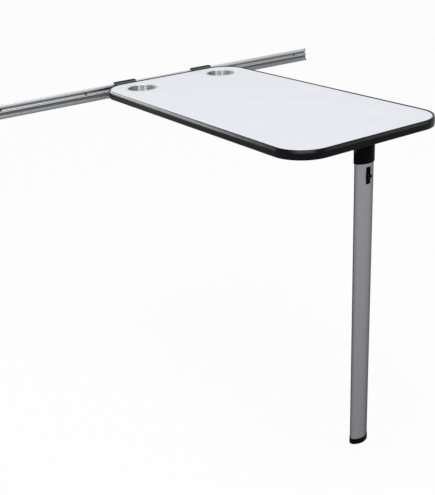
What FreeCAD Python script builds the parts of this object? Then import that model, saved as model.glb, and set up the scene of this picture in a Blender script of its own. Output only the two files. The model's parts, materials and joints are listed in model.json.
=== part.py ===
import FreeCAD, Part
import math
import os

# Wall-mounted folding table: a board that hangs by two hooks on a wall rail and stands on one folding leg.
# X runs along the wall, Y points into the wall and Z is up.
# The origin is the middle of the rail's back face. Sizes are in millimetres.

V = FreeCAD.Vector
ALONG_WALL = V(1, 0, 0)
INTO_WALL = V(0, 1, 0)
UP = V(0, 0, 1)

# Wall rail, a hollow extrusion: a hook bead on a neck, and two coves parted by a nose on its face
rail_length = 930.0
rail_height = 31.5
rail_depth = 18.5
rail_web = 2.2
rail_box_wall = 1.8
rail_edge_radius = 1.2
bead_radius = 3.0
bead_depth = 12.5
neck_thickness = 2.0
neck_setback = 2.8
hook_groove_drop = 5.2
shelf_thickness = 1.1
rail_nose_drop = 14.85
rail_nose_height = 1.6
rail_foot_height = 4.55
lower_cove_depth = 3.9
cove_land = 0.5
wall_hole_count = 5
wall_hole_pitch = 213.0
wall_hole_radius = 2.25
access_hole_radius = 2.4
access_hole_gap = 0.05
rail_cap_thickness = 2.5
rail_cap_plug = 8.0
rail_cap_clearance = 0.15

# Table board and its edge trim
table_width = 380.0
table_length = 745.0
table_corner_radius = 66.0
table_shift = 7.5
table_below_bead_top = 1.6
board_thickness = 16.0
trim_reach = 3.8
trim_lip = 1.8
trim_rise = 1.2
trim_crown_start = 0.4
trim_crown_end = 1.7
trim_nose_drop = 6.6
trim_under_lip = 1.2
trim_drop = 1.4
trim_foot_inset = 0.6
tongue_length = 7.0
tongue_thickness = 1.8
tongue_tip_thickness = 1.2
tongue_groove_clearance = 0.05
tongue_end_clearance = 0.6

# Cup holders
cup_radius = 33.0
cup_wall = 0.8
cup_depth = 36.0
cup_bottom_bevel = 4.0
cup_flange_radius = 37.5
cup_flange_thickness = 1.0
cup_rim_bevel = 0.7
cup_hole_clearance = 0.5
cup_inset = 77.0
cup_from_wall_edge = 75.0

# Wall hooks
hook_width = 54.0
hook_inset_left = 76.0
hook_inset_right = 82.0
hook_thickness = 3.4
hook_bead_clearance = 0.4
hook_wall_clearance = 0.4
hook_top_radius = 2.6
hook_corner_radius = 1.0
hook_tip_radius = 0.8
hook_heel_height = 7.4
hook_flange_length = 36.0
hook_flange_radius = 6.0
hook_rib_thickness = 3.0
hook_rib_spacing = 30.0
hook_rib_length = 16.0
hook_edge_gap = 0.5
hook_pad_gap = 0.4

# Hinge bracket of the leg
bracket_width = 74.0
bracket_depth = 58.0
bracket_thickness = 3.0
bracket_corner = 5.0
pivot_drop = 19.0
lug_width = 14.0
lug_radius = 10.0
lug_clearance = 0.35
notch_width = 9.0
notch_height = 7.0
notch_depth = 3.5
pin_radius = 4.0
pin_running_clearance = 0.05
pin_end_inset = 1.2

# Leg
table_height = 695.5
leg_from_outer_edge = 37.0
leg_width = 44.0
leg_depth = 25.0
leg_end_radius = 8.0
tube_wall = 1.8
tube_fit = 0.1
collar_wall = 1.6
collar_bottom_drop = 60.6
collar_overlap = 11.0
tail_clearance = 0.2
tail_length = 83.0
slot_top_drop = 67.6
slot_height = 34.0
slot_width = 12.0
slot_corner_radius = 1.5
snap_count = 2
snap_width = 12.0
snap_height = 6.0
snap_clearance = 0.3
snap_inset = 0.4
snap_pitch = 34.0
snap_first_drop = 76.0

# Release catch and its spring
catch_width = 11.6
catch_front = 9.6
catch_back = 3.6
catch_length = 40.0
catch_side_clearance = 0.4
catch_rest_gap = 0.3
catch_tip_width = 8.0
catch_tip_depth = 6.0
nose_width = 10.6
nose_reach = 5.5
nose_top_drop = 12.5
nose_tip_drop = 18.5
nose_end_drop = 28.0
nose_tip_radius = 0.8
channel_top_drop = 64.0
channel_length = 64.0
spring_radius = 3.5
spring_wire = 1.0
spring_turns = 6
spring_steps = 10
spring_spigot_radius = 2.4
spring_spigot_length = 4.0

# Foot
foot_height = 12.5
foot_floor = 5.0
foot_wall = 0.9

# Heights that follow from the sizes above
rail_bottom = -rail_height / 2
rail_top = rail_height / 2
bead_height = rail_top - bead_radius
hook_groove_floor = bead_height - hook_groove_drop
shelf_bottom = hook_groove_floor - shelf_thickness
rail_nose_top = rail_top - rail_nose_drop
rail_nose_bottom = rail_nose_top - rail_nose_height
rail_foot_top = rail_bottom + rail_foot_height
wall_hole_height = shelf_bottom - access_hole_gap - access_hole_radius
table_top = rail_top - table_below_bead_top
board_bottom = table_top - board_thickness
board_middle = table_top - board_thickness / 2
pivot_height = board_bottom - pivot_drop
collar_bottom = table_top - collar_bottom_drop
tube_top = collar_bottom + collar_overlap
tail_bottom = tube_top - tail_length
floor_level = table_top - table_height
foot_top = floor_level + foot_height
tube_bottom = floor_level + foot_floor

# Depths from the wall, positive into the room
neck_front = bead_depth + bead_radius - neck_setback
neck_back = neck_front - neck_thickness
hook_back = rail_depth + hook_wall_clearance
hook_front = hook_back + hook_thickness
table_edge = hook_front + hook_edge_gap
outer_edge = table_edge + table_length
leg_depth_from_wall = outer_edge - leg_from_outer_edge

tongue_groove = tongue_thickness + 2 * tongue_groove_clearance
collar_depth = leg_depth / 2 + collar_wall
cutter = 200.0


def rounded_face(corners, place):
    """Closed face through corners (u, v, radius), each rounded by its own radius."""
    turns = []
    for index, (u, v, radius) in enumerate(corners):
        here = V(u, v, 0)
        before = V(*corners[index - 1][:2], 0) - here
        after = V(*corners[(index + 1) % len(corners)][:2], 0) - here
        half = before.getAngle(after) / 2
        before.normalize()
        after.normalize()
        inward = before + after
        if radius:
            inward.normalize()
            reach = radius / math.tan(half)
            middle = here + inward * (radius / math.sin(half) - radius)
            turns.append((here + before * reach, middle, here + after * reach))
        else:
            turns.append((here, here, here))
    edges = []
    for index, (start, middle, end) in enumerate(turns):
        following = turns[(index + 1) % len(turns)][0]
        if start.distanceToPoint(end) > 1e-7:
            edges.append(Part.Arc(place(start), place(middle), place(end)).toShape())
        if end.distanceToPoint(following) > 1e-7:
            edges.append(Part.LineSegment(place(end), place(following)).toShape())
    return Part.Face(Part.Wire(edges))


def side_face(corners, x=0.0):
    """Face in a plane across the wall, from corners (depth from the wall, height, radius)."""
    return rounded_face(corners, lambda point: V(x, -point.x, point.y))


def plan_face(corners, z):
    """Level face from corners (x, y, radius)."""
    return rounded_face(corners, lambda point: V(point.x, point.y, z))


def rectangle(x_low, y_low, x_high, y_high, radius, z):
    return plan_face([(x_low, y_low, radius), (x_high, y_low, radius),
                      (x_high, y_high, radius), (x_low, y_high, radius)], z)


def block(x_low, x_high, y_low, y_high, z_low, z_high):
    return Part.makeBox(x_high - x_low, y_high - y_low, z_high - z_low, V(x_low, y_low, z_low))


def revolved(corners, centre):
    """Solid of revolution about a vertical axis, from corners (radius, height, rounding)."""
    face = rounded_face(corners, lambda point: V(point.x, 0, point.y))
    solid = face.revolve(V(0, 0, 0), UP, 360)
    solid.translate(centre)
    return solid


def export(name, shape):
    """Write one sub-part, as a single solid or a group of separate solids."""
    solids = shape.removeSplitter().Solids
    out = solids[0] if len(solids) == 1 else Part.makeCompound(solids)
    out.exportStep("parts/" + name + ".step")


# Rail

def rail_outline():
    """Section of the rail without its bead and without its hollow."""
    lower_wall = rail_depth - lower_cove_depth
    upper_cove = rail_depth - cove_land - neck_front
    lower_cove = lower_cove_depth - cove_land
    return [(0, rail_bottom, 0), (rail_depth, rail_bottom, rail_edge_radius),
            (rail_depth, rail_foot_top, 0), (lower_wall, rail_foot_top, lower_cove),
            (lower_wall, rail_nose_bottom, 0), (rail_depth, rail_nose_bottom, 0),
            (rail_depth, rail_nose_top, 0), (neck_front, rail_nose_top, upper_cove),
            (neck_front, bead_height, 0), (neck_back, bead_height, 0),
            (neck_back, hook_groove_floor, 0), (rail_web, hook_groove_floor, 0),
            (rail_web, bead_height, 0), (0, bead_height, 0)]


def rail_hollow(gap):
    """Section of the hollow under the hook groove, made smaller by a gap."""
    low = rail_bottom + rail_box_wall + gap
    high = shelf_bottom - gap
    back = rail_web + gap
    front = neck_back - gap
    return [(back, low, 0), (front, low, 0), (front, high, 0), (back, high, 0)]


def rail_run(x_low, length):
    """Solid length of the rail's outer form."""
    bar = side_face(rail_outline(), x_low).extrude(ALONG_WALL * length)
    bead = Part.makeCylinder(bead_radius, length, V(x_low, -bead_depth, bead_height), ALONG_WALL)
    return bar.fuse(bead)


def wall_holes():
    """Screw holes through the web at the wall, and wider ones through the upper cove that lead to them."""
    first = -(wall_hole_count - 1) / 2 * wall_hole_pitch
    holes = []
    for index in range(wall_hole_count):
        at = V(first + index * wall_hole_pitch, 0, wall_hole_height)
        holes.append(Part.makeCylinder(wall_hole_radius, rail_web, at, -INTO_WALL))
        front = at - INTO_WALL * rail_web
        holes.append(Part.makeCylinder(access_hole_radius, rail_depth - rail_web, front, -INTO_WALL))
    return Part.makeCompound(holes)


def wall_rail():
    hollow = side_face(rail_hollow(0), -rail_length / 2).extrude(ALONG_WALL * rail_length)
    return rail_run(-rail_length / 2, rail_length).cut(hollow).cut(wall_holes())


def rail_end_cap(side):
    """Plate with the rail's outline and a plug that fits in the hollow of the box."""
    end = rail_length / 2
    plate = rail_run(min(side * end, side * (end + rail_cap_thickness)), rail_cap_thickness)
    plug = side_face(rail_hollow(rail_cap_clearance), side * end).extrude(ALONG_WALL * -side * rail_cap_plug)
    return plate.fuse(plug)


# Table board

def table_plan(inset, z):
    """Outline of the table top, drawn in by an inset."""
    half = table_width / 2 - inset
    return rectangle(table_shift - half, inset - outer_edge, table_shift + half, -table_edge - inset,
                     table_corner_radius - inset, z)


def cup_centres():
    y = -table_edge - cup_from_wall_edge
    return [V(table_shift + side * (table_width / 2 - cup_inset), y, table_top) for side in (-1, 1)]


def table_board():
    board = table_plan(trim_reach, board_bottom).extrude(UP * board_thickness)
    groove_low = board_middle - tongue_groove / 2
    groove = table_plan(trim_reach, groove_low).extrude(UP * tongue_groove)
    core_inset = trim_reach + tongue_length + tongue_end_clearance
    core = table_plan(core_inset, groove_low).extrude(UP * tongue_groove)
    opening = cup_radius + cup_wall + cup_hole_clearance
    holes = [Part.makeCylinder(opening, board_thickness, at, -UP) for at in cup_centres()]
    return board.cut(groove.cut(core)).cut(Part.makeCompound(holes))


def trim_section():
    """Corners of the trim's section, outward and up from the middle of the board's edge."""
    half = board_thickness / 2
    top = half + trim_rise
    bottom = -half - trim_drop
    foot = trim_reach - trim_foot_inset
    cover = [(-trim_lip, half), (trim_crown_start, top), (trim_crown_end, top),
             (trim_reach, top - trim_nose_drop), (foot, bottom), (-trim_under_lip, -half), (0, -half)]
    stem = tongue_thickness / 2
    tip = tongue_tip_thickness / 2
    tongue = [(0, -stem), (-tongue_length, -tip), (-tongue_length, tip), (0, stem)]
    return cover + tongue + [(0, half)]


def edge_trim():
    """The section swept once round the edge of the board."""
    path = table_plan(trim_reach, board_middle).OuterWire
    left = table_shift - table_width / 2 + trim_reach
    start = table_corner_radius - outer_edge
    corners = [(u, w, 0) for u, w in trim_section()]
    section = rounded_face(corners, lambda point: V(left - point.x, start, board_middle + point.y))
    return path.makePipe(section)


def cup_holder(centre):
    """Deep-drawn cup with a flat flange that lies on the board."""
    outer = cup_radius + cup_wall
    floor = cup_wall - cup_depth
    top = cup_flange_thickness
    turn = cup_bottom_bevel
    corners = [(0, floor), (cup_radius - turn, floor), (cup_radius, floor + turn),
               (cup_radius, top - cup_rim_bevel), (cup_radius + cup_rim_bevel, top),
               (cup_flange_radius, top), (cup_flange_radius, 0), (outer, 0),
               (outer, floor + turn), (outer - turn, -cup_depth), (0, -cup_depth)]
    return revolved([(radius, height, 0) for radius, height in corners], centre)


# Wall hooks

def hook_pad_bottom():
    """Height of the upper side of the flange where it passes under the trim."""
    return board_bottom - trim_drop - hook_pad_gap


def hook_flange_bottom():
    return hook_pad_bottom() - hook_thickness


def wall_hook(side):
    """Claw over the bead, plate down to a heel on the rail's face, flange under the board and two ribs."""
    inset = hook_inset_left if side < 0 else hook_inset_right
    x = table_shift + side * (table_width / 2 - inset)
    inner = bead_radius + hook_bead_clearance
    outer = inner + hook_thickness
    low = hook_flange_bottom()
    heel = low - hook_heel_height
    lip_turn = table_corner_radius - trim_reach - trim_under_lip
    past_corner = max(0.0, hook_width / 2 + table_corner_radius - inset)
    recede = lip_turn - math.sqrt(lip_turn ** 2 - past_corner ** 2)
    pad = table_edge + trim_reach + trim_under_lip + recede + hook_pad_gap
    end = hook_front + hook_flange_length
    corners = [(bead_depth - inner, bead_height, hook_tip_radius),
               (bead_depth - inner, bead_height + inner, inner - hook_tip_radius),
               (hook_back, bead_height + inner, hook_corner_radius), (hook_back, heel, 0),
               (hook_front, heel, hook_corner_radius), (hook_front, low, 0), (end, low, 0),
               (end, board_bottom, 0), (pad, board_bottom, 0), (pad, hook_pad_bottom(), 0),
               (hook_front, hook_pad_bottom(), 0), (hook_front, bead_height + outer, hook_top_radius),
               (bead_depth - outer, bead_height + outer, outer - hook_tip_radius),
               (bead_depth - outer, bead_height, hook_tip_radius)]
    hook = side_face(corners, x - hook_width / 2).extrude(ALONG_WALL * hook_width)
    for step in (-1, 1):
        rib = [(hook_front, low, 0), (hook_front, heel, 0), (hook_front + hook_rib_length, low, 0)]
        start = x + step * hook_rib_spacing / 2 - hook_rib_thickness / 2
        hook = hook.fuse(side_face(rib, start).extrude(ALONG_WALL * hook_rib_thickness))
    plan = rectangle(x - hook_width / 2, -end, x + hook_width / 2, cutter, hook_flange_radius, -cutter)
    return hook.common(plan.extrude(UP * 2 * cutter))


# Leg hinge

def leg_point(x, y, z):
    """Point given from the axis of the leg, with y into the wall."""
    return V(table_shift + x, y - leg_depth_from_wall, z)


def leg_block(x_low, x_high, y_low, y_high, z_low, z_high):
    low = leg_point(x_low, y_low, z_low)
    high = leg_point(x_high, y_high, z_high)
    return block(low.x, high.x, low.y, high.y, low.z, high.z)


def pivot_cylinder(radius, half_length):
    return Part.makeCylinder(radius, 2 * half_length, leg_point(-half_length, 0, pivot_height), ALONG_WALL)


def hinge_bracket():
    """Plate under the board with one lug. The lug's round end has a notch for each end of the fold."""
    low = board_bottom - bracket_thickness
    near = leg_point(-bracket_width / 2, -bracket_depth / 2, low)
    far = leg_point(bracket_width / 2, bracket_depth / 2, low)
    cut = bracket_corner
    outline = [(near.x + cut, near.y), (far.x - cut, near.y), (far.x, near.y + cut), (far.x, far.y - cut),
               (far.x - cut, far.y), (near.x + cut, far.y), (near.x, far.y - cut), (near.x, near.y + cut)]
    plate = plan_face([(x, y, 0) for x, y in outline], low).extrude(UP * bracket_thickness)
    half = lug_width / 2
    lug = leg_block(-half, half, -lug_radius, lug_radius, pivot_height, low)
    bracket = plate.fuse(lug).fuse(pivot_cylinder(lug_radius, half))
    side = notch_width / 2
    across = notch_height / 2
    bracket = bracket.cut(leg_block(-side, side, -across, across, pivot_height - lug_radius,
                                    pivot_height - lug_radius + notch_depth))
    bracket = bracket.cut(leg_block(-side, side, lug_radius - notch_depth, lug_radius,
                                    pivot_height - across, pivot_height + across))
    return bracket.cut(pivot_cylinder(pin_radius + pin_running_clearance, lug_width))


def hinge_pin():
    return pivot_cylinder(pin_radius, leg_width / 2 + collar_wall - pin_end_inset)


# Leg

def oval_face(grow, z):
    """Level oval of four arcs round the leg's axis, larger than the tube by grow all round."""
    half_x = leg_width / 2 + grow
    half_y = leg_depth / 2 + grow
    end = leg_end_radius + grow
    offset = half_x - end
    flank = (offset ** 2 + half_y ** 2 - end ** 2) / (2 * (half_y - end))
    lean = V(offset, flank - half_y, 0)
    lean.normalize()
    x = offset + lean.x * end
    y = lean.y * end
    arcs = [((x, -y), (half_x, 0), (x, y)), ((x, y), (0, half_y), (-x, y)),
            ((-x, y), (-half_x, 0), (-x, -y)), ((-x, -y), (0, -half_y), (x, -y))]
    edges = [Part.Arc(*[leg_point(u, v, z) for u, v in arc]).toShape() for arc in arcs]
    return Part.Face(Part.Wire(edges))


def oval_prism(grow, z_low, z_high):
    return oval_face(grow, z_low).extrude(UP * (z_high - z_low))


def leg_tube():
    tube = oval_prism(0, tube_bottom, tube_top).cut(oval_prism(-tube_wall, tube_bottom, tube_top))
    slot_top = table_top - slot_top_drop
    half = slot_width / 2
    slot_bottom = slot_top - slot_height
    corners = [(-half, slot_bottom), (half, slot_bottom), (half, slot_top), (-half, slot_top)]
    front = -leg_depth_from_wall - leg_depth / 2
    slot = rounded_face([(u, v, slot_corner_radius) for u, v in corners],
                        lambda point: V(table_shift + point.x, front - tube_wall, point.y))
    tube = tube.cut(slot.extrude(INTO_WALL * (leg_depth / 2 + tube_wall)))
    return tube.cut(snap_blocks(snap_clearance, tube_wall))


def snap_blocks(gap, out):
    """Blocks on the wall side of the leg's axis for the snap tabs, or for their windows with a gap."""
    half = snap_width / 2 + gap
    tall = snap_height / 2 + gap
    front = catch_back + tube_wall
    back = leg_depth / 2 + out
    blocks = []
    for index in range(snap_count):
        z = table_top - snap_first_drop - index * snap_pitch
        blocks.append(leg_block(-half, half, front, back, z - tall, z + tall))
    return Part.makeCompound(blocks)


def leg_head():
    """Moulded head: knuckle with a slot for the lug, collar over the tube, and a tail inside the tube."""
    top = pivot_height + collar_depth
    body = oval_prism(collar_wall, collar_bottom, top)
    wide = leg_width
    below = leg_block(-wide, wide, -wide, wide, collar_bottom, pivot_height)
    body = body.common(below.fuse(pivot_cylinder(collar_depth, wide)))
    body = body.cut(oval_prism(tube_fit, collar_bottom, tube_top))
    body = body.fuse(oval_prism(-tube_wall - tail_clearance, tail_bottom, tube_top))
    slot_half = lug_width / 2 + lug_clearance
    slot_floor = lug_radius + lug_clearance
    body = body.cut(leg_block(-slot_half, slot_half, -slot_floor, wide, pivot_height - slot_floor, top))
    body = body.cut(pivot_cylinder(pin_radius, wide))
    channel_top = table_top - channel_top_drop
    channel_half = catch_width / 2 + catch_side_clearance
    channel_back = catch_back + catch_side_clearance
    channel_bottom = channel_top - channel_length
    body = body.cut(leg_block(-channel_half, channel_half, -wide, channel_back, channel_bottom, channel_top))
    tip_half = catch_tip_width / 2 + catch_side_clearance
    tip_deep = catch_tip_depth / 2 + catch_side_clearance
    body = body.cut(leg_block(-tip_half, tip_half, -tip_deep, tip_deep, channel_top, pivot_height))
    return body.fuse(snap_blocks(0, -snap_inset))


def catch_top():
    return table_top - channel_top_drop - catch_rest_gap


def release_catch():
    """Slide in the head's channel: a bolt tip above, a thumb nose in the tube's slot, a spigot below."""
    top = catch_top()
    bottom = top - catch_length
    half = catch_width / 2
    body = leg_block(-half, half, -catch_front, catch_back, bottom, top)
    tip_top = pivot_height - lug_radius - lug_clearance
    tip_half = catch_tip_width / 2
    deep = catch_tip_depth / 2
    body = body.fuse(leg_block(-tip_half, tip_half, -deep, deep, top - catch_length / 2, tip_top))
    root = leg_depth_from_wall + catch_front - catch_back
    reach = leg_depth_from_wall + leg_depth / 2 + nose_reach
    face = leg_depth_from_wall + catch_front
    slot_top = table_top - slot_top_drop
    profile = [(root, slot_top - nose_end_drop, 0), (face, slot_top - nose_end_drop, 0),
               (reach, slot_top - nose_tip_drop, nose_tip_radius), (face, slot_top - nose_top_drop, 0),
               (root, slot_top - nose_top_drop, 0)]
    nose = side_face(profile, table_shift - nose_width / 2).extrude(ALONG_WALL * nose_width)
    spigot = Part.makeCylinder(spring_spigot_radius, spring_spigot_length, spring_centre(bottom), -UP)
    return body.fuse(nose).fuse(spigot)


def spring_centre(z):
    return leg_point(0, (catch_back - catch_front) / 2, z)


def catch_spring():
    """Coil of square wire between the bottom of the channel and the catch, in short straight steps."""
    low = table_top - channel_top_drop - channel_length
    rise = catch_top() - catch_length - low - spring_wire
    half = spring_wire / 2
    count = spring_turns * spring_steps
    rings = []
    for step in range(count + 1):
        angle = 2 * math.pi * step / spring_steps
        outward = V(math.cos(angle), math.sin(angle), 0)
        middle = spring_centre(low + half + rise * step / count) + outward * spring_radius
        square = ((-half, -half), (half, -half), (half, half), (-half, half))
        rings.append([middle + outward * u + UP * w for u, w in square])
    faces = [rings[0], rings[-1]]
    for here, after in zip(rings, rings[1:]):
        for side in range(4):
            a, b = here[side], here[(side + 1) % 4]
            c, d = after[(side + 1) % 4], after[side]
            faces += [[a, b, c], [a, c, d]]
    shell = Part.Shell([Part.Face(Part.makePolygon(points + points[:1])) for points in faces])
    shell.sewShape()
    return Part.Solid(shell)


def leg_foot():
    """Cap pushed over the end of the tube."""
    return oval_prism(foot_wall, floor_level, foot_top).cut(oval_prism(tube_fit, tube_bottom, foot_top))


def build():
    os.makedirs("parts", exist_ok=True)
    export("wall_rail", wall_rail())
    export("table_board", table_board())
    export("edge_trim", edge_trim())
    export("rail_end_cap_left", rail_end_cap(-1))
    export("rail_end_cap_right", rail_end_cap(1))
    export("cup_holders", Part.makeCompound([cup_holder(centre) for centre in cup_centres()]))
    export("wall_hook_left", wall_hook(-1))
    export("wall_hook_right", wall_hook(1))
    export("hinge_bracket", hinge_bracket())
    export("hinge_pin", hinge_pin())
    export("leg_head", leg_head())
    export("leg_tube", leg_tube())
    export("release_catch", release_catch())
    export("catch_spring", catch_spring())
    export("leg_foot", leg_foot())


build()
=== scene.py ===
# %% [markdown]
# A folding table for a camper: a white board with a black edge hangs by two hooks on an aluminium wall
# rail, and one folding leg carries its far end. The solids come ready made, in metres, with every hinge in
# place. This script gives them their looks, so nothing here moves or reshapes them. X runs along the wall,
# Y points into the wall and Z is up.

# %% Load the solid model
import json
import math

import bmesh
import bpy
from mathutils import Matrix, Vector


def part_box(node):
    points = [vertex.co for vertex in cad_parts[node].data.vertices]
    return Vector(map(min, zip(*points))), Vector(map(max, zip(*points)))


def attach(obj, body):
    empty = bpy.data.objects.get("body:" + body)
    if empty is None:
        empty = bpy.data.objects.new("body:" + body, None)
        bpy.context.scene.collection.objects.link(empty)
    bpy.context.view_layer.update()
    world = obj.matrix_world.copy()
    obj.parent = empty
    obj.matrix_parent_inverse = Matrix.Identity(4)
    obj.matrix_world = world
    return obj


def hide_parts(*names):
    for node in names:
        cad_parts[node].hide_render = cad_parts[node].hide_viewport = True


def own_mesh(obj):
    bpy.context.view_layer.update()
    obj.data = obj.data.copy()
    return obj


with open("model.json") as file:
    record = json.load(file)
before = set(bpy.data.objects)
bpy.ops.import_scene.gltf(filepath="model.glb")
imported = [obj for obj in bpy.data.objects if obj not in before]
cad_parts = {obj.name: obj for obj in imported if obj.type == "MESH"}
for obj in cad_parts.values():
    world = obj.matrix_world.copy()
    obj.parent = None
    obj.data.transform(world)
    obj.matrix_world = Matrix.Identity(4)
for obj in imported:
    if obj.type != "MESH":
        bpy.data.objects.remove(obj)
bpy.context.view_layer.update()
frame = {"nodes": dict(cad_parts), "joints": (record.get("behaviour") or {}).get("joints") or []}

solids = frame["nodes"]
joints = {joint["name"]: joint for joint in frame["joints"]}
print("solids:", ", ".join(sorted(solids)))

# %% [markdown]
# The photograph was taken with a long lens from the left, a little above the table. A camera could be
# turned by eye, but straight edges give its place exactly: the two long sides, the leg and the rail fix the
# lens, the heading, the dip and a small tilt to one side. The frame is 435 by 495 pixels, and the lens is
# given for its long side.

# %% Camera
image_height = 495
focal_pixels = 822.7
heading = math.radians(33.273)
dip = math.radians(23.516)
tilt = math.radians(-3.158)
camera_place = Vector((-1.04064, -1.81004, 0.43714))

ahead = Vector((math.sin(heading) * math.cos(dip), math.cos(heading) * math.cos(dip), -math.sin(dip)))
level_right = Vector((math.cos(heading), -math.sin(heading), 0))
level_up = level_right.cross(ahead)
right = math.cos(tilt) * level_right + math.sin(tilt) * level_up
up = math.cos(tilt) * level_up - math.sin(tilt) * level_right

camera = bpy.data.objects.new("camera", bpy.data.cameras.new("camera"))
camera.data.sensor_width = 36
camera.data.lens = focal_pixels / image_height * camera.data.sensor_width
camera.matrix_world = Matrix.Translation(camera_place) @ Matrix((right, up, -ahead)).transposed().to_4x4()
bpy.context.scene.collection.objects.link(camera)
bpy.context.scene.camera = camera
print("lens:", round(camera.data.lens, 2), "mm")

# %% [markdown]
# Finishes are written as arithmetic. A number that changes over a surface is the output socket of a node,
# and a small class wraps that socket, so that 0.4 + 0.1 * grain adds the two Math nodes by itself. Every
# other node comes from one method, which sets the node's options first and then its sockets.

# %% Shader arithmetic


class Amount:
    """An output socket that can be added, subtracted and multiplied."""

    def __init__(self, finish, socket):
        self.finish = finish
        self.socket = socket

    def math(self, operation, *values):
        return self.finish.node("ShaderNodeMath", {"operation": operation}, dict(enumerate(values)))

    def __add__(self, other):
        return self.math("ADD", self, other)

    def __radd__(self, other):
        return self.math("ADD", other, self)

    def __sub__(self, other):
        return self.math("SUBTRACT", self, other)

    def __rsub__(self, other):
        return self.math("SUBTRACT", other, self)

    def __mul__(self, other):
        return self.math("MULTIPLY", self, other)

    def __rmul__(self, other):
        return self.math("MULTIPLY", other, self)

    def most(self, other):
        return self.math("MAXIMUM", self, other)


class Finish:
    """A material under construction, or the world round the scene."""

    def __init__(self, name, world=None):
        self.material = world or bpy.data.materials.new(name)
        self.material.use_nodes = True
        self.tree = self.material.node_tree
        self.shader = self.tree.nodes["Background" if world else "Principled BSDF"]

    def node(self, kind, settings=None, inputs=None, output=0):
        made = self.tree.nodes.new(kind)
        for name, value in (settings or {}).items():
            setattr(made, name, value)
        for name, value in (inputs or {}).items():
            self.plug(made.inputs[name], value)
        return Amount(self, made.outputs[output])

    def plug(self, socket, value):
        if isinstance(value, Amount):
            self.tree.links.new(value.socket, socket)
        else:
            socket.default_value = value

    def surface(self, **inputs):
        for name, value in inputs.items():
            self.plug(self.shader.inputs[name.replace("_", " ").title().replace("Ior", "IOR")], value)
        return self.material

    def place(self, stretch=(1, 1, 1), centre=(0, 0, 0)):
        """Coordinates on the object, measured from a centre and stretched for streaks."""
        point = self.node("ShaderNodeTexCoord", output="Object")
        return self.node("ShaderNodeMapping", {"vector_type": "POINT"}, {
            "Vector": point, "Scale": stretch, "Location": [-c * s for c, s in zip(centre, stretch)]})

    def noise(self, place, scale, detail=2.0):
        return self.node("ShaderNodeTexNoise", {}, {"Vector": place, "Scale": scale, "Detail": detail}, "Fac")

    def blend(self, amount, first, second):
        """Colour between two colours."""
        return self.node("ShaderNodeMix", {"data_type": "RGBA"}, {0: amount, 6: first, 7: second}, 2)

    def bump(self, height, strength, distance, over=None):
        """Fine relief, on the plain surface or over another normal."""
        inputs = {"Height": height, "Strength": strength, "Distance": distance}
        if over is not None:
            inputs["Normal"] = over
        return self.node("ShaderNodeBump", {}, inputs, "Normal")

    def axes(self, place, sides):
        """The separate numbers of a place."""
        return [self.node("ShaderNodeSeparateXYZ", {}, {0: place}, side) for side in sides]

    def rise(self, amount, start, end):
        """0 before the start and 1 past the end, with a straight run between them."""
        run = {"Value": amount, "From Min": start, "From Max": end}
        return self.node("ShaderNodeMapRange", {}, run, "Result")

    def tones(self, amount, stops):
        """Grey tones at given stops of an amount, with straight runs between them."""
        low, high = stops[0][0], stops[-1][0]
        made = self.node("ShaderNodeValToRGB", {}, {"Fac": self.rise(amount, low, high)}, "Color")
        scale = made.socket.node.color_ramp
        for stop, tone in stops[1:-1]:
            scale.elements.new((stop - low) / (high - low)).color = grey(tone)
        scale.elements[0].color = grey(stops[0][1])
        scale.elements[-1].color = grey(stops[-1][1])
        return made

    def edge(self, radius):
        """Normal that rounds the edges off, and an amount that is 0 on flats and grows on edges."""
        soft = self.node("ShaderNodeBevel", {"samples": 4}, {"Radius": radius}, "Normal")
        flat = self.node("ShaderNodeNewGeometry", output="Normal")
        same = self.node("ShaderNodeVectorMath", {"operation": "DOT_PRODUCT"}, {0: soft, 1: flat}, "Value")
        return soft, 1 - same


def tint(*rgb):
    return (*rgb, 1.0)


def grey(tone, blue=1.03):
    """A grey with a touch of blue, as metal has it in daylight."""
    return tint(tone, tone, blue * tone)


print("shader arithmetic ready")

# %% [markdown]
# The table top is a melamine faced board. Its white is a shade blue, and up close it has a faint orange
# peel from the press plate. Paint would be even smoother, so the difference is a fine bump and a roughness
# that wanders a bit.

# %% White laminate
laminate = Finish("white_laminate")
peel = laminate.noise(laminate.place(), 900, 3)
cloud = laminate.noise(laminate.place(), 7, 2)
white_laminate = laminate.surface(
    base_color=laminate.blend(cloud, tint(0.80, 0.81, 0.85), tint(0.85, 0.86, 0.90)),
    roughness=0.36 + 0.10 * cloud + 0.06 * peel,
    normal=laminate.bump(peel, 0.05, 0.0002))
print("finish:", white_laminate.name)

# %% [markdown]
# The edge trim is black vinyl, pulled through a die, so it is smooth with long soft waves. The waves are
# large noise in the roughness and a very shallow bump; a mirror-smooth black would look like glass. The
# vinyl is filled with soot, which takes most of its shine when it is seen face on, so its specular level is
# low.

# %% Black edge trim
vinyl = Finish("edge_vinyl")
wave = vinyl.noise(vinyl.place(), 22, 2)
dust = vinyl.noise(vinyl.place(), 700, 2)
edge_vinyl = vinyl.surface(
    base_color=vinyl.blend(wave, tint(0.003, 0.003, 0.004), tint(0.005, 0.005, 0.007)),
    roughness=0.18 + 0.08 * wave + 0.03 * dust,
    normal=vinyl.bump(wave, 0.10, 0.001),
    specular_ior_level=0.06)
print("finish:", edge_vinyl.name)

# %% [markdown]
# Rail and leg are aluminium extrusions. The die leaves fine lines along the pull, which is X on the rail
# and Z on the leg: noise that is stretched a few hundred times along one axis gives them. The edges could
# be bevelled in the mesh, but a bevel in the shader rounds them just as well and leaves the solids alone.

# %% Extruded aluminium


def extruded_aluminium(name, stretch, rough, rim):
    metal = Finish(name)
    lines = metal.noise(metal.place(stretch), 1.0, 3)
    handling = metal.noise(metal.place(), 9, 2)
    dullness = rough + 0.08 * lines + 0.06 * handling
    soft, _ = metal.edge(0.0004)
    relief = metal.bump(lines, 0.06, 0.0001, soft)
    metal.surface(metallic=1.0, roughness=dullness, normal=relief, specular_tint=rim)
    return metal, lines, dullness


print("extruded aluminium ready")

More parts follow.
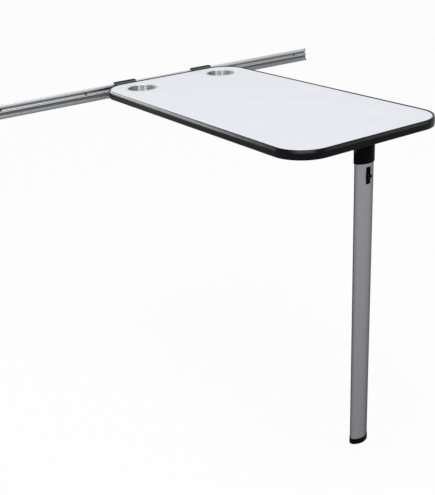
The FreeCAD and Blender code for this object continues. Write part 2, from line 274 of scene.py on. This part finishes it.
# %% [markdown]
# The rail's light and shade are painted into its colour: a bright bead, dark painted shade in the corners
# under the bead and under the nose, and bright floors in the two coves. As the rail is the same all along, a
# row of stops over the height of its section says nearly all of that. Behind the face, inside the hollow, the
# colour is painted dark as shade, and the back against the wall is a matt grey. Towards the right end the
# rail is a little darker.

# %% Rail aluminium
in_millimetres = (1000, 1000, 1000)
rail_rim = tint(0.8, 0.8, 0.8)
rail, rail_lines, rail_dullness = extruded_aluminium("rail_aluminium", (4, 1500, 1500), 0.28, rail_rim)
rail_along, rail_into, rail_height = rail.axes(rail.place(in_millimetres), "XYZ")
rail_depth = 0 - rail_into
# Painted light and shade: a bright bead and cove floors, and dark bands where shade falls under the bead and
# the nose.
rail_painted_light_and_shade = rail.tones(rail_height, [
    (-16, 0.08), (-15.4, 0.10), (-14.6, 0.20), (-11.8, 0.26), (-11.2, 0.85), (-10.2, 0.48), (-8.6, 0.24),
    (-7, 0.13), (-4.6, 0.10), (-1.8, 0.04), (-0.9, 0.04), (-0.6, 0.55), (0.9, 0.85), (2.2, 0.55), (4.5, 0.21),
    (6.2, 0.11), (8.2, 0.10), (8.9, 0.50), (9.8, 0.76), (13, 0.70), (16, 0.60)])
# Painted shade inside the hollow, so that the holes look dark.
hollow_painted_shade = rail.tones(rail_height, [
    (-16, 0.42), (-14.1, 0.42), (-13.8, 0.02), (6.2, 0.02), (6.6, 0.40), (16, 0.80)])
on_face = rail.rise(rail_depth, 11.5, 12.125)
at_wall = rail.rise(rail_depth, 0.5, 0.25)
far_right = rail.rise(rail_along, 120, 320)
rail_painted_tone = rail.blend(at_wall, rail.blend(on_face, hollow_painted_shade, rail_painted_light_and_shade), tint(0.5, 0.5, 0.51))
rail_lined = rail.blend(0.12 * rail_lines, rail_painted_tone, tint(0.5, 0.5, 0.52))
rail_aluminium = rail.surface(
    base_color=rail.blend(0.16 * far_right, rail_lined, tint(0.0, 0.0, 0.0)),
    metallic=1 - at_wall,
    roughness=rail_dullness + 0.4 * at_wall)
print("finish:", rail_aluminium.name)

# %% [markdown]
# The leg is anodised darker, and its colour is painted darker more and more towards the floor as shade. Its
# flank on the room's side is painted lighter and the flank towards the wall darker, as painted light and
# shade: one more row of stops, this time over the distance across the leg.

# %% Leg aluminium
leg_rim = tint(0.15, 0.15, 0.155)
leg, leg_lines, _ = extruded_aluminium("leg_aluminium", (1600, 1600, 3), 0.34, leg_rim)
leg_height = leg.axes(leg.place(), "Z")[0]
# Painted shade: the leg's colour darkens towards the floor.
leg_floor_shade = leg.rise(leg_height, 0, -2 / 3)
leg_low, leg_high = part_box("leg_tube")
leg_side, leg_depth = leg.axes(leg.place(in_millimetres, (leg_low + leg_high) / 2), "XY")
to_the_room = Vector((0.84, -0.55))
# Painted light and shade across the leg: lighter on the room's side, darker towards the wall.
leg_side_light_and_shade = leg.tones(to_the_room.x * leg_side + to_the_room.y * leg_depth, [
    (-24, 0.10), (-20, 0.12), (-16, 0.26), (-12, 0.305), (12, 0.305), (17, 0.33), (20, 0.40), (24, 0.44)])
leg_lined_tone = leg.blend(0.25 * leg_lines, leg_side_light_and_shade, tint(0.31, 0.31, 0.322))
leg_aluminium = leg.surface(base_color=leg.blend(0.5 * leg_floor_shade, leg_lined_tone, tint(0.14, 0.14, 0.145)))
print("finish:", leg_aluminium.name)

# %% [markdown]
# The cup holders are drawn and polished steel. Polishing turns round the axis of each cup, so its lines are
# rings: the distance to the axis and the height feed a one-directional noise. Matt, pale streaks down the
# inside of the wall are painted highlights: a row of stops over the bearing says where, and the wall between
# them is painted darker to one side as shade. Both cups share one finish, because wrapping X at the pitch of
# the cups gives each of them its own middle.

# %% Spun steel
cup_low, cup_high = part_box("cup_holders")
flange_radius = (cup_high.y - cup_low.y) / 2
cup_middles = (cup_low.x + flange_radius, cup_high.x - flange_radius)
cup_axes = [Vector((x, cup_low.y + flange_radius, 0)) for x in cup_middles]
cup_pitch = cup_axes[1].x - cup_axes[0].x
cup_inner = 0.0330
streak_bearing = 63
streak_stops = [
    (-60, 0), (-21, 0), (-19.5, 1), (-11.5, 1), (-10, 0.15), (-4.5, 0.15), (-2.5, 0.5), (1.5, 0.5), (2.6, 0),
    (5.4, 0), (6.4, 1), (15, 1), (16, 0), (60, 0)]

steel = Finish("spun_steel")
along, beside, height = steel.axes(steel.place((1, 1, 1), cup_axes[0]), "XYZ")
along = along.math("WRAP", along, cup_pitch / 2, -cup_pitch / 2)
square = along * along + beside * beside
reach = square.math("SQRT", square)
turn = along.math("ARCTAN2", beside, along) - math.radians(streak_bearing)
shade_side = 0.5 - 0.5 * turn.math("SINE", turn)
off_wall = reach - cup_inner
on_wall = steel.rise(off_wall, -0.0020, -0.0015) * steel.rise(off_wall, 0.00035, 0.00010)
# Painted highlights: pale, matt streaks down the inside of the wall.
painted_streaks = steel.tones(math.degrees(1) * turn, streak_stops) * on_wall
ring_place = steel.node("ShaderNodeCombineXYZ", {}, {"X": 2600 * reach, "Y": 2200 * height})
rings = steel.noise(ring_place, 1.0, 3)
smear = steel.noise(steel.place(), 40, 2)
ringed = steel.blend(rings, tint(0.58, 0.58, 0.59), tint(0.66, 0.66, 0.67))
# Painted shade: the wall is darker to one side.
wall_light_and_shade = steel.blend(shade_side, tint(0.20, 0.20, 0.21), tint(0.92, 0.92, 0.93))
spun_steel = steel.surface(
    base_color=steel.blend(painted_streaks, steel.blend(on_wall, ringed, wall_light_and_shade), tint(1.0, 1.0, 1.0)),
    metallic=1 - painted_streaks,
    roughness=0.34 + 0.04 * rings + 0.04 * smear,
    normal=steel.bump(rings, 0.015, 0.0001))
print("finish:", spun_steel.name, "round", [tuple(round(v, 4) for v in axis) for axis in cup_axes])

# %% [markdown]
# Hooks, caps, hinge parts and foot are black mouldings. A spark-eroded tool leaves a fine grain on them,
# which is a small noise bump. The pieces differ in gloss, so one function takes it. Where a hook stands above
# the board, its front is painted grey as a reflection of the white board, so the function also takes a band
# of heights and the depth where the front begins.

# %% Moulded black plastic


def moulded_black(name, dark, light, rough, grain, shine, board_reflection_band=None):
    plastic = Finish(name)
    sparks = plastic.noise(plastic.place(), 2200, 2)
    flow = plastic.noise(plastic.place(), 30, 2)
    soft, worn = plastic.edge(0.0005)
    colour = plastic.blend(worn, plastic.blend(flow, dark, light), tint(0.05, 0.05, 0.052))
    if board_reflection_band is not None:
        low, high, front = board_reflection_band
        fade = 0.00067
        depth, height = plastic.axes(plastic.place(), "YZ")
        band = plastic.rise(height, low, low + fade) * plastic.rise(height, high, high - fade)
        # Painted reflection: the hook's front above the board is painted grey, as the white board would show
        # in it.
        painted_board_reflection = band * plastic.rise(depth, front, front - fade)
        colour = plastic.blend(painted_board_reflection, colour, tint(0.22, 0.22, 0.23))
    return plastic.surface(
        base_color=colour,
        roughness=rough + 0.08 * flow + 0.10 * sparks,
        normal=plastic.bump(sparks, grain, 0.0002, soft),
        specular_ior_level=shine)


table_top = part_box("table_board")[1].z
hook_crown = 0.0012
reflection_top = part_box("wall_hook_left")[1].z - hook_crown
bead_depth = joints["table_tilt"]["pos_m"][1]
hook_black = moulded_black(
    "hook_black", tint(0.004, 0.004, 0.005), tint(0.008, 0.008, 0.009), 0.45, 0.08, 0.06,
    (table_top, reflection_top, bead_depth))
hinge_black = moulded_black(
    "hinge_black", tint(0.002, 0.002, 0.0024), tint(0.004, 0.004, 0.0044), 0.40, 0.10, 0.02)
cap_black = moulded_black(
    "cap_black", tint(0.008, 0.008, 0.009), tint(0.014, 0.014, 0.015), 0.40, 0.12, 0.20)
print("finishes:", hook_black.name, hinge_black.name, cap_black.name)

# %% [markdown]
# The spring and the screws are plated steel: bright, with cloudy patches where the zinc has dulled. The
# hinge pin is steel too, but blackened, so that its ends don't shine in the black head. The same clouds
# serve both.

# %% Plated and blackened steel


def clouded_steel(name, dark, light, rough):
    steel_part = Finish(name)
    bloom = steel_part.noise(steel_part.place(), 260, 3)
    return steel_part.surface(
        base_color=steel_part.blend(bloom, dark, light), metallic=1.0, roughness=rough + 0.18 * bloom)


zinc_plate = clouded_steel("zinc_plate", tint(0.46, 0.46, 0.48), tint(0.64, 0.64, 0.65), 0.24)
black_oxide = clouded_steel("black_oxide", tint(0.010, 0.010, 0.011), tint(0.025, 0.025, 0.026), 0.36)
print("finishes:", zinc_plate.name, black_oxide.name)

# %% [markdown]
# Each solid came with a plain slot. The slots get their finishes here, and the solids stay as they are.

# %% Finishes on the solids
finish_of = {
    "wall_rail": rail_aluminium, "rail_end_cap_left": cap_black, "rail_end_cap_right": cap_black,
    "table_board": white_laminate, "edge_trim": edge_vinyl, "cup_holders": spun_steel,
    "wall_hook_left": hook_black, "wall_hook_right": hook_black, "hinge_bracket": hinge_black,
    "hinge_pin": black_oxide, "leg_head": hinge_black, "leg_tube": leg_aluminium,
    "release_catch": hinge_black, "catch_spring": zinc_plate, "leg_foot": hinge_black}
for name, material in finish_of.items():
    for slot in solids[name].material_slots:
        slot.material = material
print(len(finish_of), "solids have a finish")

# %% [markdown]
# Some pieces repeat: the two cups and the screws under the board. One Geometry Nodes tree places copies of
# a piece on points, each turned by a random angle with a fixed seed, and ends as one plain mesh with one
# finish.

# %% Tree: copies of a piece on points


def new_tree(name, sockets):
    """Geometry Nodes tree with a geometry output, and the identifiers of its named inputs."""
    tree = bpy.data.node_groups.new(name, "GeometryNodeTree")
    tree.interface.new_socket("Geometry", in_out="OUTPUT", socket_type="NodeSocketGeometry")
    found = {}
    for label, kind in sockets:
        found[label] = tree.interface.new_socket(label, in_out="INPUT", socket_type=kind).identifier
    return tree, found


def tree_node(tree, kind, inputs=None, settings=None):
    made = tree.nodes.new(kind)
    for name, value in (settings or {}).items():
        setattr(made, name, value)
    for name, value in (inputs or {}).items():
        if isinstance(value, bpy.types.NodeSocket):
            tree.links.new(value, made.inputs[name])
        else:
            made.inputs[name].default_value = value
    return made


def end_tree(tree, geometry, material):
    real = tree_node(tree, "GeometryNodeRealizeInstances", {"Geometry": geometry})
    coated = tree_node(tree, "GeometryNodeSetMaterial", {"Geometry": real.outputs[0], "Material": material})
    tree_node(tree, "NodeGroupOutput", {0: coated.outputs[0]})


copies_tree, copies_input = new_tree("copies_on_points", [
    ("Points", "NodeSocketGeometry"), ("Piece", "NodeSocketObject"), ("Most Turn", "NodeSocketFloat"),
    ("Seed", "NodeSocketInt"), ("Finish", "NodeSocketMaterial")])
given = tree_node(copies_tree, "NodeGroupInput")
piece = tree_node(copies_tree, "GeometryNodeObjectInfo", {"Object": given.outputs["Piece"]})
spin = tree_node(copies_tree, "FunctionNodeRandomValue", {
    "Max": given.outputs["Most Turn"], "Seed": given.outputs["Seed"]}, {"data_type": "FLOAT"})
about_z = tree_node(copies_tree, "ShaderNodeCombineXYZ", {"Z": spin.outputs["Value"]})
placed = tree_node(copies_tree, "GeometryNodeInstanceOnPoints", {
    "Points": given.outputs["Points"], "Instance": piece.outputs["Geometry"], "Rotation": about_z.outputs[0]})
end_tree(copies_tree, placed.outputs[0], given.outputs["Finish"])
print("tree:", copies_tree.name, "with inputs", ", ".join(copies_input))

# %% [markdown]
# A few helpers make plain meshes: points for the trees, a lathe for round pieces, and outlines with arcs or
# soft corners. A Screw modifier could turn a profile too, but a mesh that is made at once leaves nothing
# live behind.

# %% Helpers: plain meshes


def object_from(name, mesh):
    made = bpy.data.objects.new(name, mesh)
    bpy.context.scene.collection.objects.link(made)
    return made


def points_object(name, points):
    mesh = bpy.data.meshes.new(name)
    mesh.from_pydata([tuple(p) for p in points], [], [])
    return object_from(name, mesh)


def lathe(name, profile, steps):
    """Closed solid of revolution from (radius, height) points that start and end on the axis."""
    work = bmesh.new()
    loops = []
    for radius, z in profile:
        if radius == 0:
            loops.append([work.verts.new((0, 0, z))])
        else:
            angles = [2 * math.pi * k / steps for k in range(steps)]
            loops.append([work.verts.new((radius * math.cos(a), radius * math.sin(a), z)) for a in angles])
    for low, high in zip(loops, loops[1:]):
        for k in range(steps):
            below = [low[k % len(low)], low[(k + 1) % len(low)]]
            above = [high[(k + 1) % len(high)], high[k % len(high)]]
            work.faces.new(list(dict.fromkeys(below + above)))
    bmesh.ops.recalc_face_normals(work, faces=work.faces)
    for face in work.faces:
        face.smooth = True
    mesh = bpy.data.meshes.new(name)
    work.to_mesh(mesh)
    work.free()
    return object_from(name, mesh)


def plain_mesh(made, tree, identifiers, values):
    """Run a tree on an object with named inputs, and leave the result as the object's own mesh."""
    modifier = made.modifiers.new("nodes", "NODES")
    modifier.node_group = tree
    for name, value in values.items():
        modifier[identifiers[name]] = value
    graph = bpy.context.evaluated_depsgraph_get()
    mesh = bpy.data.meshes.new_from_object(made.evaluated_get(graph))
    made.modifiers.clear()
    made.data = mesh
    return made


def arc(centre, radius, first, last, steps):
    """Points (radius, height) on an arc, angles in degrees from outward."""
    turns = [math.radians(first + (last - first) * k / steps) for k in range(steps + 1)]
    return [(centre[0] + radius * math.cos(a), centre[1] + radius * math.sin(a)) for a in turns]


def soft_outline(corners, steps):
    """Closed outline through corners (across, up, reach), each bent over its reach along both sides."""
    points = []
    for index, (across, up_by, reach_by) in enumerate(corners):
        here = Vector((across, up_by))
        start = here + (Vector(corners[index - 1][:2]) - here).normalized() * reach_by
        end = here + (Vector(corners[(index + 1) % len(corners)][:2]) - here).normalized() * reach_by
        for k in range(steps + 1 if reach_by else 1):
            t = k / steps
            points.append((1 - t) ** 2 * start + 2 * t * (1 - t) * here + t ** 2 * end)
    return points


print("helpers ready")

# %% [markdown]
# A deep-drawn cup has no sharp bend anywhere: the wall turns into the bottom on a generous radius, and the
# rim rolls over into a flat flange. The solid model keeps those bends as bevels. A lathed profile with true
# arcs replaces it.

# %% Cup holders
cup_wall = 0.0008
cup_bottom = cup_low.z - table_top
flange_top = cup_high.z - table_top
bottom_turn = 0.006
rim_turn = 0.0018
edge_turn = 0.0005
edge_break = 0.0002
outer = cup_inner + cup_wall

cup_profile = [(0, cup_bottom)]
cup_profile += arc((outer - bottom_turn, cup_bottom + bottom_turn), bottom_turn, -90, 0, 8)
cup_profile += [(outer, 0), (flange_radius - edge_break, 0)]
cup_profile += arc((flange_radius - edge_turn, edge_turn), edge_turn, -60, 90, 6)
cup_profile += arc((cup_inner + rim_turn, flange_top - rim_turn), rim_turn, 90, 180, 10)
cup_profile += arc((outer - bottom_turn, cup_bottom + bottom_turn), bottom_turn - cup_wall, 0, -90, 8)
cup_profile += [(0, cup_bottom + cup_wall)]

one_cup = lathe("one_cup", cup_profile, 112)
cups = points_object("spun_cups", [axis + Vector((0, 0, table_top)) for axis in cup_axes])
plain_mesh(cups, copies_tree, copies_input, {
    "Piece": one_cup, "Most Turn": 0.0, "Seed": 1, "Finish": spun_steel})
bpy.data.objects.remove(one_cup)
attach(cups, "table")
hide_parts("cup_holders")
print("cups:", len(cups.data.polygons), "faces")

# %% [markdown]
# The trim is one section pulled along one path, the edge of the board. The solid model has that section
# with straight sides; the real die rounds every bend a little, and those bends carry the highlights. A
# second tree rounds a rectangle, sets its normals level and sweeps the soft section round it, so the whole
# trim is a few named sizes.

# %% Tree: a section round a rounded rectangle
sweep_tree, sweep_input = new_tree("section_round_edge", [
    ("Width", "NodeSocketFloat"), ("Length", "NodeSocketFloat"), ("Corner Radius", "NodeSocketFloat"),
    ("Corner Steps", "NodeSocketInt"), ("Centre", "NodeSocketVector"), ("Section", "NodeSocketObject"),
    ("Finish", "NodeSocketMaterial")])
given = tree_node(sweep_tree, "NodeGroupInput")
border = tree_node(sweep_tree, "GeometryNodeCurvePrimitiveQuadrilateral", {
    "Width": given.outputs["Width"], "Height": given.outputs["Length"]})
rounded = tree_node(sweep_tree, "GeometryNodeFilletCurve", {
    "Curve": border.outputs[0], "Count": given.outputs["Corner Steps"],
    "Radius": given.outputs["Corner Radius"]}, {"mode": "POLY"})
level = tree_node(sweep_tree, "GeometryNodeSetCurveNormal", {"Curve": rounded.outputs[0]}, {"mode": "Z_UP"})
set_down = tree_node(sweep_tree, "GeometryNodeSetPosition", {
    "Geometry": level.outputs[0], "Offset": given.outputs["Centre"]})
section = tree_node(sweep_tree, "GeometryNodeObjectInfo", {"Object": given.outputs["Section"]})
line = tree_node(sweep_tree, "GeometryNodeMeshToCurve", {"Mesh": section.outputs["Geometry"]})
skin = tree_node(sweep_tree, "GeometryNodeCurveToMesh", {
    "Curve": set_down.outputs[0], "Profile Curve": line.outputs[0]})
end_tree(sweep_tree, skin.outputs[0], given.outputs["Finish"])
print("tree:", sweep_tree.name, "with inputs", ", ".join(sweep_input))

# %% [markdown]
# The corners of the section are in millimetres, outward and up from the middle of the board's edge. The
# third number says how far each corner is bent along its two sides, so the crown and the nose stay crisp
# and the bevel runs soft.

# %% Edge trim
board_low, board_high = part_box("table_board")
trim_middle = (board_low + board_high) / 2
trim_width = board_low.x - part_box("edge_trim")[0].x
table_corner = 0.066
trim_corner = table_corner - trim_width
trim_corners = [
    (-2.2, 8.0, 0), (0.9, 9.2, 0.5), (1.6, 9.2, 0.3), (2.8, 6.7, 1.8), (3.8, 2.6, 0.5), (3.2, -9.4, 0.8),
    (-1.2, -8.0, 0), (0, -8.0, 0), (0, -0.9, 0), (-7.0, -0.6, 0), (-7.0, 0.6, 0), (0, 0.9, 0), (0, 8.0, 0)]
trim_line = [point * 0.001 for point in soft_outline(trim_corners, 6)]
trim_mesh = bpy.data.meshes.new("trim_section")
trim_mesh.from_pydata([(p.x, -p.y, 0) for p in trim_line],
                      [(k, (k + 1) % len(trim_line)) for k in range(len(trim_line))], [])
trim_section = object_from("trim_section", trim_mesh)

edge_sweep = points_object("edge_sweep", [])
plain_mesh(edge_sweep, sweep_tree, sweep_input, {
    "Width": board_high.x - board_low.x, "Length": board_high.y - board_low.y, "Corner Radius": trim_corner,
    "Corner Steps": 28, "Centre": tuple(trim_middle), "Section": trim_section, "Finish": edge_vinyl})
bpy.data.objects.remove(trim_section)
for face in edge_sweep.data.polygons:
    face.use_smooth = True
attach(edge_sweep, "table")
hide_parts("edge_trim")
sweep_points = [vertex.co for vertex in edge_sweep.data.vertices]
print("trim:", len(edge_sweep.data.polygons), "faces, from",
      [round(1000 * min(p[i] for p in sweep_points), 2) for i in range(3)], "to",
      [round(1000 * max(p[i] for p in sweep_points), 2) for i in range(3)], "mm")

# %% [markdown]
# Hooks and hinge bracket are screwed on from below with pan-head screws. The solid model leaves them out to
# stay light, but anyone who looks under the table expects them. One screw is lathed, gets a cross recess,
# and the tree repeats it.

# %% Screws under the board
head_radius = 0.0039
head_flank = 0.0007
head_turn = 0.0012
head_height = head_flank + head_turn
recess_width = 0.0009
recess_span = 0.0040
recess_depth = 0.0018


def pan_head():
    profile = [(0, 0), (head_radius, 0), (head_radius, -head_flank)]
    profile += arc((head_radius - head_turn, -head_flank), head_turn, 0, -90, 5)[1:]
    profile += [(0, -head_height)]
    head = lathe("pan_head", profile, 36)
    cutter_mesh = bpy.data.meshes.new("cross")
    work = bmesh.new()
    for size in ((recess_width, recess_span), (recess_span, recess_width)):
        arm = Matrix.Translation((0, 0, -head_height)) @ Matrix.Diagonal((*size, recess_depth, 1))
        bmesh.ops.create_cube(work, size=1, matrix=arm)
    work.to_mesh(cutter_mesh)
    work.free()
    cutter = object_from("cross", cutter_mesh)
    cut = head.modifiers.new("recess", "BOOLEAN")
    cut.object = cutter
    cut.use_self = True
    graph = bpy.context.evaluated_depsgraph_get()
    head.data = bpy.data.meshes.new_from_object(head.evaluated_get(graph))
    head.modifiers.clear()
    bpy.data.objects.remove(cutter)
    return head


hook_flange_under = -0.00705
hook_screw_y = -0.0483
hook_screw_reach = 0.020
bracket_plate = 0.003
bracket_inset = Vector((0.007, 0.009))
bracket_low, bracket_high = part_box("hinge_bracket")
screw_places = []
for hook in ("wall_hook_left", "wall_hook_right"):
    low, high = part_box(hook)
    hook_middle = (low.x + high.x) / 2
    for x in (hook_middle - hook_screw_reach, hook_middle + hook_screw_reach):
        screw_places.append(Vector((x, hook_screw_y, hook_flange_under)))
for x in (bracket_low.x + bracket_inset.x, bracket_high.x - bracket_inset.x):
    for y in (bracket_low.y + bracket_inset.y, bracket_high.y - bracket_inset.y):
        screw_places.append(Vector((x, y, bracket_high.z - bracket_plate)))

one_screw = pan_head()
screws = points_object("board_screws", screw_places)
plain_mesh(screws, copies_tree, copies_input, {
    "Piece": one_screw, "Most Turn": math.pi, "Seed": 4, "Finish": zinc_plate})
bpy.data.objects.remove(one_screw)
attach(screws, "table")
print("screws:", len(screw_places), "with", len(screws.data.polygons), "faces")

# %% [markdown]
# The catch is pushed up by a coil spring inside the leg. A spiral curve with a round wire is exactly what the
# Curve nodes make, so a third tree builds it, and it rides with the leg.

# %% Catch spring
spring_low, spring_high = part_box("catch_spring")
wire_radius = 0.0005
coil_radius = 0.0035
coil_turns = 6.0
coil_tree, coil_input = new_tree("coil_spring", [
    ("Turns", "NodeSocketFloat"), ("Coil Radius", "NodeSocketFloat"), ("Rise", "NodeSocketFloat"),
    ("Wire Radius", "NodeSocketFloat"), ("Foot", "NodeSocketVector"), ("Finish", "NodeSocketMaterial")])
given = tree_node(coil_tree, "NodeGroupInput")
spiral = tree_node(coil_tree, "GeometryNodeCurveSpiral", {
    "Resolution": 24, "Rotations": given.outputs["Turns"], "Start Radius": given.outputs["Coil Radius"],
    "End Radius": given.outputs["Coil Radius"], "Height": given.outputs["Rise"]})
moved = tree_node(coil_tree, "GeometryNodeSetPosition", {
    "Geometry": spiral.outputs[0], "Offset": given.outputs["Foot"]})
wire = tree_node(coil_tree, "GeometryNodeCurvePrimitiveCircle", {
    "Resolution": 10, "Radius": given.outputs["Wire Radius"]})
tube = tree_node(coil_tree, "GeometryNodeCurveToMesh", {
    "Curve": moved.outputs[0], "Profile Curve": wire.outputs[0], "Fill Caps": True})
end_tree(coil_tree, tube.outputs[0], given.outputs["Finish"])

spring_axis = (spring_low + spring_high) / 2
spring = points_object("catch_coil", [])
plain_mesh(spring, coil_tree, coil_input, {
    "Turns": coil_turns, "Coil Radius": coil_radius, "Wire Radius": wire_radius,
    "Rise": spring_high.z - spring_low.z - 2 * wire_radius,
    "Foot": (spring_axis.x, spring_axis.y, spring_low.z + wire_radius), "Finish": zinc_plate})
for face in spring.data.polygons:
    face.use_smooth = True
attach(spring, "leg")
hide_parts("catch_spring")
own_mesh(spring)
print("spring:", len(spring.data.polygons), "faces")

# %% [markdown]
# The photograph has a plain white ground. A large pale floor under the foot gives it, and the camera sees
# most of it as flat white, so that only a soft shadow is left. The same white shows in the metal.

# %% Floor and world
floor_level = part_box("leg_foot")[0].z
floor_gap = 0.0005
floor_half = 30
floor = points_object("floor", [])
work = bmesh.new()
just_below = Matrix.Translation((0, 0, floor_level - floor_gap))
bmesh.ops.create_grid(work, x_segments=1, y_segments=1, size=floor_half, matrix=just_below)
work.to_mesh(floor.data)
work.free()


def shows_white(finish):
    """1 for rays that look at the white, straight or in metal or glass, and 0 for rays that only light."""
    kinds = ("Is Camera Ray", "Is Glossy Ray", "Is Transmission Ray")
    straight, in_metal, in_glass = (finish.node("ShaderNodeLightPath", output=kind) for kind in kinds)
    return straight.most(in_metal).most(in_glass)


ground = Finish("pale_floor")
matt = ground.node("ShaderNodeBsdfDiffuse", {}, {"Color": tint(0.86, 0.86, 0.86)})
flat = ground.node("ShaderNodeEmission", {}, {"Color": tint(1, 1, 1), "Strength": 1.0})
cover = ground.node("ShaderNodeMixShader", {}, {0: 0.95 * shows_white(ground), 1: matt, 2: flat})
ground.plug(ground.tree.nodes["Material Output"].inputs["Surface"], cover)
floor.data.materials.append(ground.material)

sky = Finish("studio", bpy.data.worlds.new("studio"))
bpy.context.scene.world = sky.material
sky.surface(color=tint(0.97, 0.98, 1.0), strength=0.55 + 0.45 * shows_white(sky))
print("floor at", round(floor_level, 4), "m")

# %% [markdown]
# Two soft boxes light the table: a wide one above and one from the camera's left. Three bright cards are
# for the black trim alone, where they draw the grey line along its bevel: one behind on the left, one in
# front on the right and one over the camera. On the white board or the metal they would show as glare, so
# light linking keeps them to the trim.

# %% Soft boxes


def soft_box(name, place, target, size, power, lights_matt=True):
    light = bpy.data.lights.new(name, "AREA")
    light.shape = "RECTANGLE"
    light.size, light.size_y = size
    light.energy = power
    made = object_from(name, light)
    made.location = place
    made.rotation_mode = "QUATERNION"
    made.rotation_quaternion = (Vector(target) - Vector(place)).to_track_quat("-Z", "Y")
    made.visible_diffuse = lights_matt
    return made


table_middle = (0.0075, -0.40, 0.0)
soft_box("top_box", (-0.3, -0.6, 2.6), table_middle, (1.8, 1.8), 27.5)
soft_box("side_box", (-2.6, -1.6, 1.2), table_middle, (1.6, 1.6), 13)
cards = [
    soft_box("edge_card", (-1.31, 2.10, 0.15), (-0.18, -0.40, 0.0), (1.6, 0.9), 115, False),
    soft_box("front_card", (1.86, -2.60, 0.43), table_middle, (1.1, 0.8), 14, False),
    soft_box("corner_card", (-1.39, -2.50, 0.95), (-0.17, -0.74, 0.0), (2.8, 1.0), 130, False)]
trim_only = bpy.data.collections.new("lit_by_cards")
trim_only.objects.link(edge_sweep)
for card in cards:
    card.light_linking.receiver_collection = trim_only

# %% [markdown]
# Colours are shown as they are, without a film curve.

# %% View
bpy.context.scene.view_settings.view_transform = "Standard"
